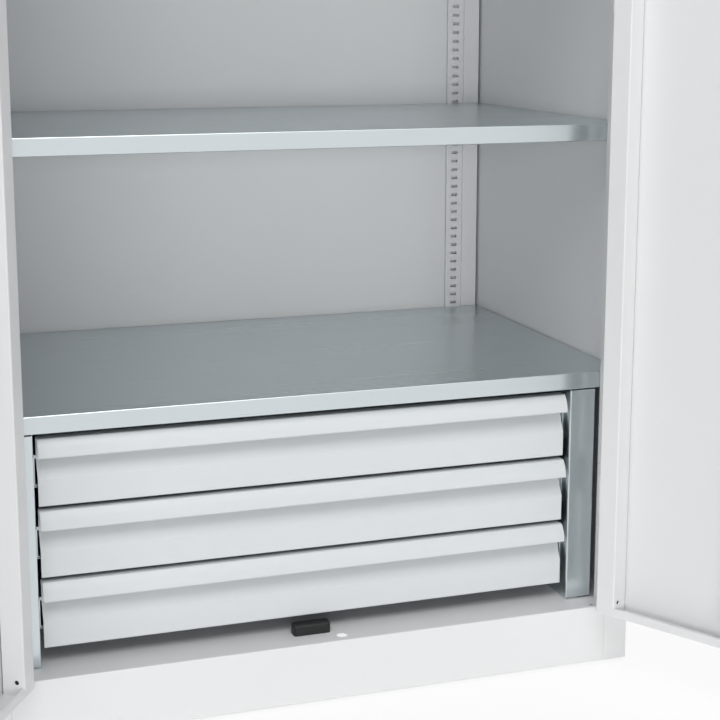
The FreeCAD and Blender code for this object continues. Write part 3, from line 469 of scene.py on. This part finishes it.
pad_radius, pad_tall, pad_sides = 0.010, 0.008, 40
stud_radius, stud_top, stud_sides, stud_chamfer = 0.005, 0.048, 24, 0.0008
thread_pitch, thread_deep, thread_margin = 0.00125, 0.0006, 0.001
low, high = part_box("levelling_feet")
corners = [Matrix.Translation((x, y, 0)) for x in (low.x + pad_radius, high.x - pad_radius)
           for y in (low.y + pad_radius, high.y - pad_radius)]

sole_edge = [(pad_radius - 0.0008, 0), (pad_radius - 0.0003, 0.0003), (pad_radius, 0.001)]
shoulder = [(pad_radius, 0.0035), (pad_radius - 0.0006, 0.0048), (0.0074, 0.0058)]
neck = [(0.0066, 0.0066), (0.0064, pad_tall - 0.0003), (0.0061, pad_tall)]
pad = turned([(0, 0), *sole_edge, *shoulder, *neck, (0, pad_tall)], pad_sides)
foot_pads = new_piece(set_out(pad, corners), "foot_pads", black_plastic, "cabinet")
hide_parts("levelling_feet")
sharp_edges(foot_pads, 40)

thread = [(stud_radius, pad_tall + thread_margin)]
while thread[-1][1] + thread_pitch < stud_top - thread_margin:
    crest = thread[-1][1]
    thread += [(stud_radius - thread_deep, crest + thread_pitch / 2),
               (stud_radius, crest + thread_pitch)]
stud = turned([(0, pad_tall), (stud_radius, pad_tall), *thread,
               (stud_radius - stud_chamfer, stud_top), (0, stud_top)], stud_sides)
foot_studs = new_piece(set_out(stud, corners), "foot_studs", zinc_steel, "cabinet")
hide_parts("levelling_feet")
sharp_edges(foot_studs, 70)


# Door bumper: a solid black rubber block, moulded with rounded upright corners and a rounded
# top edge, stuck to the deck where both doors close.
rubber = moulded("rubber", grey=0.011, smoothest=0.50, roughest=0.60, grain_deep=0.00006)
dress(rubber, "black_plastic", "door_bumper")


# Studio: a plain white floor and surround, one wide low lamp in front that reaches the back
# of the shelves, weaker lamps above, beside and behind, and a camera at the photograph's place.
def seen_directly(tree):
    """1 for camera, mirror and glass rays, 0 for the light that falls on things."""
    rays = tree.nodes.new("ShaderNodeLightPath")
    direct = rays.outputs["Is Camera Ray"]
    for name in ("Is Glossy Ray", "Is Transmission Ray"):
        either = tree.nodes.new("ShaderNodeMath")
        either.operation = "MAXIMUM"
        tree.links.new(direct, either.inputs[0])
        tree.links.new(rays.outputs[name], either.inputs[1])
        direct = either.outputs[0]
    return direct


def white_floor(share):
    """White paper that takes the object's shadow; share is how much it glows when looked at."""
    paper_white = (0.94, 0.94, 0.94, 1)
    material = finish_named("white_floor")
    tree = material.node_tree
    shader = shader_of(material)
    shader.inputs["Base Color"].default_value = paper_white
    shader.inputs["Roughness"].default_value = 1
    shader.inputs["Specular IOR Level"].default_value = 0
    glow = tree.nodes.new("ShaderNodeEmission")
    glow.inputs["Color"].default_value = (1, 1, 1, 1)
    part = tree.nodes.new("ShaderNodeMath")
    part.operation = "MULTIPLY"
    part.inputs[1].default_value = share
    tree.links.new(seen_directly(tree), part.inputs[0])
    mix = tree.nodes.new("ShaderNodeMixShader")
    tree.links.new(part.outputs[0], mix.inputs["Fac"])
    tree.links.new(shader.outputs["BSDF"], mix.inputs[1])
    tree.links.new(glow.outputs["Emission"], mix.inputs[2])
    tree.links.new(mix.outputs["Shader"], tree.nodes["Material Output"].inputs["Surface"])
    return material


def soft_lamp(name, spot, aim, wide, high, power):
    """A large soft lamp that points at a spot."""
    light = bpy.data.lights.new(name, "AREA")
    light.shape = "RECTANGLE"
    light.size, light.size_y = wide, high
    light.energy = power
    lamp = bpy.data.objects.new(name, light)
    lamp.location = spot
    lamp.rotation_euler = (Vector(aim) - Vector(spot)).to_track_quat("-Z", "Y").to_euler()
    bpy.context.scene.collection.objects.link(lamp)
    return lamp


floor_radius, floor_sides, floor_glow = 14, 96, 0.86
paper = bmesh.new()
bmesh.ops.create_circle(paper, cap_ends=True, segments=floor_sides, radius=floor_radius)
sheet = bpy.data.meshes.new("floor")
paper.to_mesh(sheet)
paper.free()
sheet.materials.append(white_floor(floor_glow))
floor = bpy.data.objects.new("floor", sheet)
bpy.context.scene.collection.objects.link(floor)
floor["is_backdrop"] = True

front_lamp = soft_lamp("front_lamp", spot=(-2.4, -8.4, 1.05), aim=(0, 0, 0.8),
                       wide=8, high=1.7, power=335)
front_lamp.visible_glossy = False
soft_lamp("top_lamp", spot=(-0.7, -3.2, 4.6), aim=(0.1, 0, 0.4), wide=4.0, high=3.0, power=120)
for side, across in (("right", 4.2), ("left", -4.2)):
    soft_lamp(f"{side}_lamp", spot=(across, 0.6, 2.4), aim=(0, 0.2, 0.9),
              wide=2.2, high=2.2, power=60)
soft_lamp("rear_lamp", spot=(1.8, 5.6, 3.4), aim=(0, 0, 0.9), wide=3.5, high=3.5, power=140)

surround = bpy.data.worlds.new("surround")
bpy.context.scene.world = surround
surround.use_nodes = True
sky = surround.node_tree.nodes["Background"]
sky.inputs["Strength"].default_value = 1
tone = surround.node_tree.nodes.new("ShaderNodeMix")
tone.data_type = "RGBA"
dim, white = [socket for socket in tone.inputs if socket.type == "RGBA"]
dim.default_value = (0.220, 0.221, 0.223, 1)
white.default_value = (1, 1, 1, 1)
surround.node_tree.links.new(seen_directly(surround.node_tree), tone.inputs["Factor"])
shade = [out for out in tone.outputs if out.type == "RGBA"][0]
surround.node_tree.links.new(shade, sky.inputs["Color"])

eye, looks_down, turned_right = (-0.6134, -2.2593, 0.9593), 10.52, 18.70
lens = bpy.data.cameras.new("camera")
lens.lens = 77.135
lens.sensor_width = 36
lens.shift_y = -0.08
camera = bpy.data.objects.new("camera", lens)
camera.location = eye
camera.rotation_euler = (math.radians(90 - looks_down), 0, math.radians(-turned_right))
bpy.context.scene.collection.objects.link(camera)
bpy.context.scene.camera = camera
bpy.context.scene.view_settings.view_transform = "Standard"

low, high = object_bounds()
